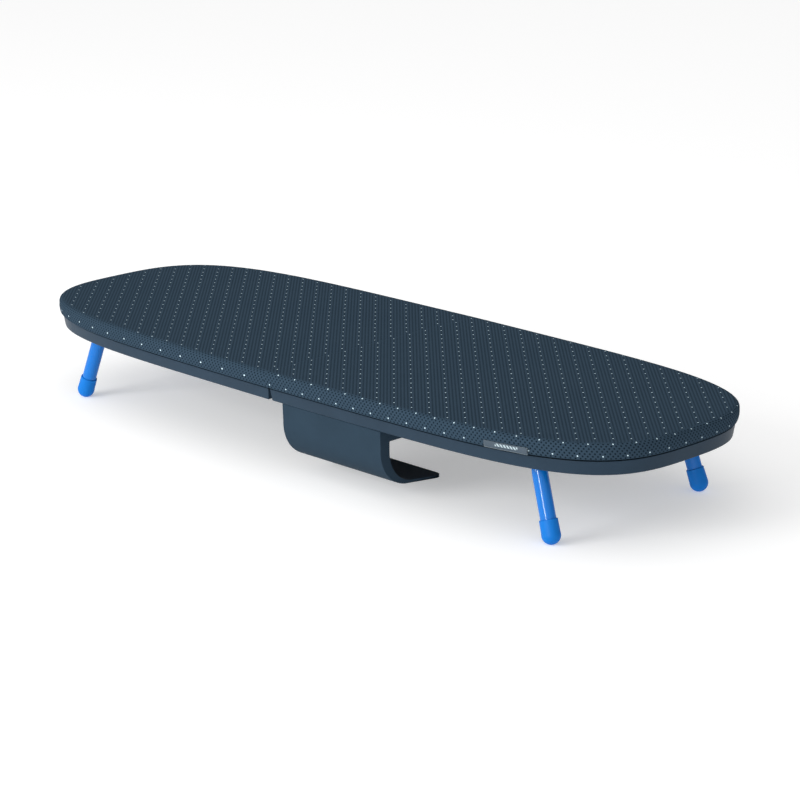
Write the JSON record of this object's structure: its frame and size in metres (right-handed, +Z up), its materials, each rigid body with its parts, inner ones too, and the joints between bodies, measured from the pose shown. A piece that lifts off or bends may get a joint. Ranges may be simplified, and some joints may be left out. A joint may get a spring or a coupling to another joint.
{
  "type": "folding table-top ironing board",
  "caption": "Padded table-top ironing board with rounded ends that folds in half, with two folding leg frames, a sliding lock and an over-door storage hook.",
  "frame": {"origin": "on the table under the middle of the board", "axes": "+X along the board towards the half with the hook, +Y to the back, +Z up"},
  "size_m": [0.89, 0.3244, 0.1117],
  "materials": {
    "moulded_frame": "fine moulded texture",
    "rim_plastic": "satin moulded",
    "hook_plastic": "satin moulded",
    "saddle_plastic": "satin moulded",
    "foam": "needled felt foam",
    "cover_cloth": "fine woven cotton with small white dots",
    "elastic": "braided elastic",
    "woven_tag": "woven satin tape",
    "leg_enamel": "gloss enamel",
    "foot_rubber": "matte soft plastic",
    "hinge_steel": "zinc plated",
    "fastener_steel": "zinc plated",
    "lock_steel": "zinc plated"
  },
  "bodies": {
    "right_half": {"right_frame": "moulded_frame", "right_rim": "rim_plastic", "right_pad": "foam", "right_cover": "cover_cloth", "right_hem_elastic": "elastic", "cover_tag": "woven_tag", "door_hook": "hook_plastic", "hook_screws": "fastener_steel", "hinge_leaf_right": "hinge_steel", "hinge_pin": "fastener_steel", "hinge_rivets_right": "fastener_steel", "right_saddle_front": "saddle_plastic", "right_saddle_rear": "saddle_plastic", "right_screws": "fastener_steel", "lock_guide": "saddle_plastic"},
    "left_half": {"left_frame": "moulded_frame", "left_rim": "rim_plastic", "left_pad": "foam", "left_cover": "cover_cloth", "left_hem_elastic": "elastic", "hinge_leaf_left": "hinge_steel", "hinge_rivets_left": "fastener_steel", "left_saddle_front": "saddle_plastic", "left_saddle_rear": "saddle_plastic", "left_screws": "fastener_steel", "lock_keeper": "saddle_plastic"},
    "right_legs": {"right_leg": "leg_enamel", "right_foot_front": "foot_rubber", "right_foot_rear": "foot_rubber"},
    "left_legs": {"left_leg": "leg_enamel", "left_foot_front": "foot_rubber", "left_foot_rear": "foot_rubber"},
    "lock": {"lock_bar": "lock_steel"}
  },
  "joints": [
    {"name": "board_fold", "type": "hinge", "parent": "right_half", "child": "left_half", "pos_m": [0, 0, 0.1078], "axis": [0, 1, 0], "range_deg": [0, 176], "deforming": ["right_pad", "left_pad", "right_cover", "left_cover", "right_hem_elastic", "left_hem_elastic"]},
    {"name": "right_leg_fold", "type": "hinge", "parent": "right_half", "child": "right_legs", "pos_m": [0.33307, 0, 0.0885], "axis": [0, 1, 0], "range_deg": [0, 109]},
    {"name": "left_leg_fold", "type": "hinge", "parent": "left_half", "child": "left_legs", "pos_m": [-0.33307, 0, 0.0885], "axis": [0, -1, 0], "range_deg": [0, 109]},
    {"name": "lock_slide", "type": "slide", "parent": "right_half", "child": "lock", "axis": [-1, 0, 0], "range_m": [0, 0.028]}
  ]
}
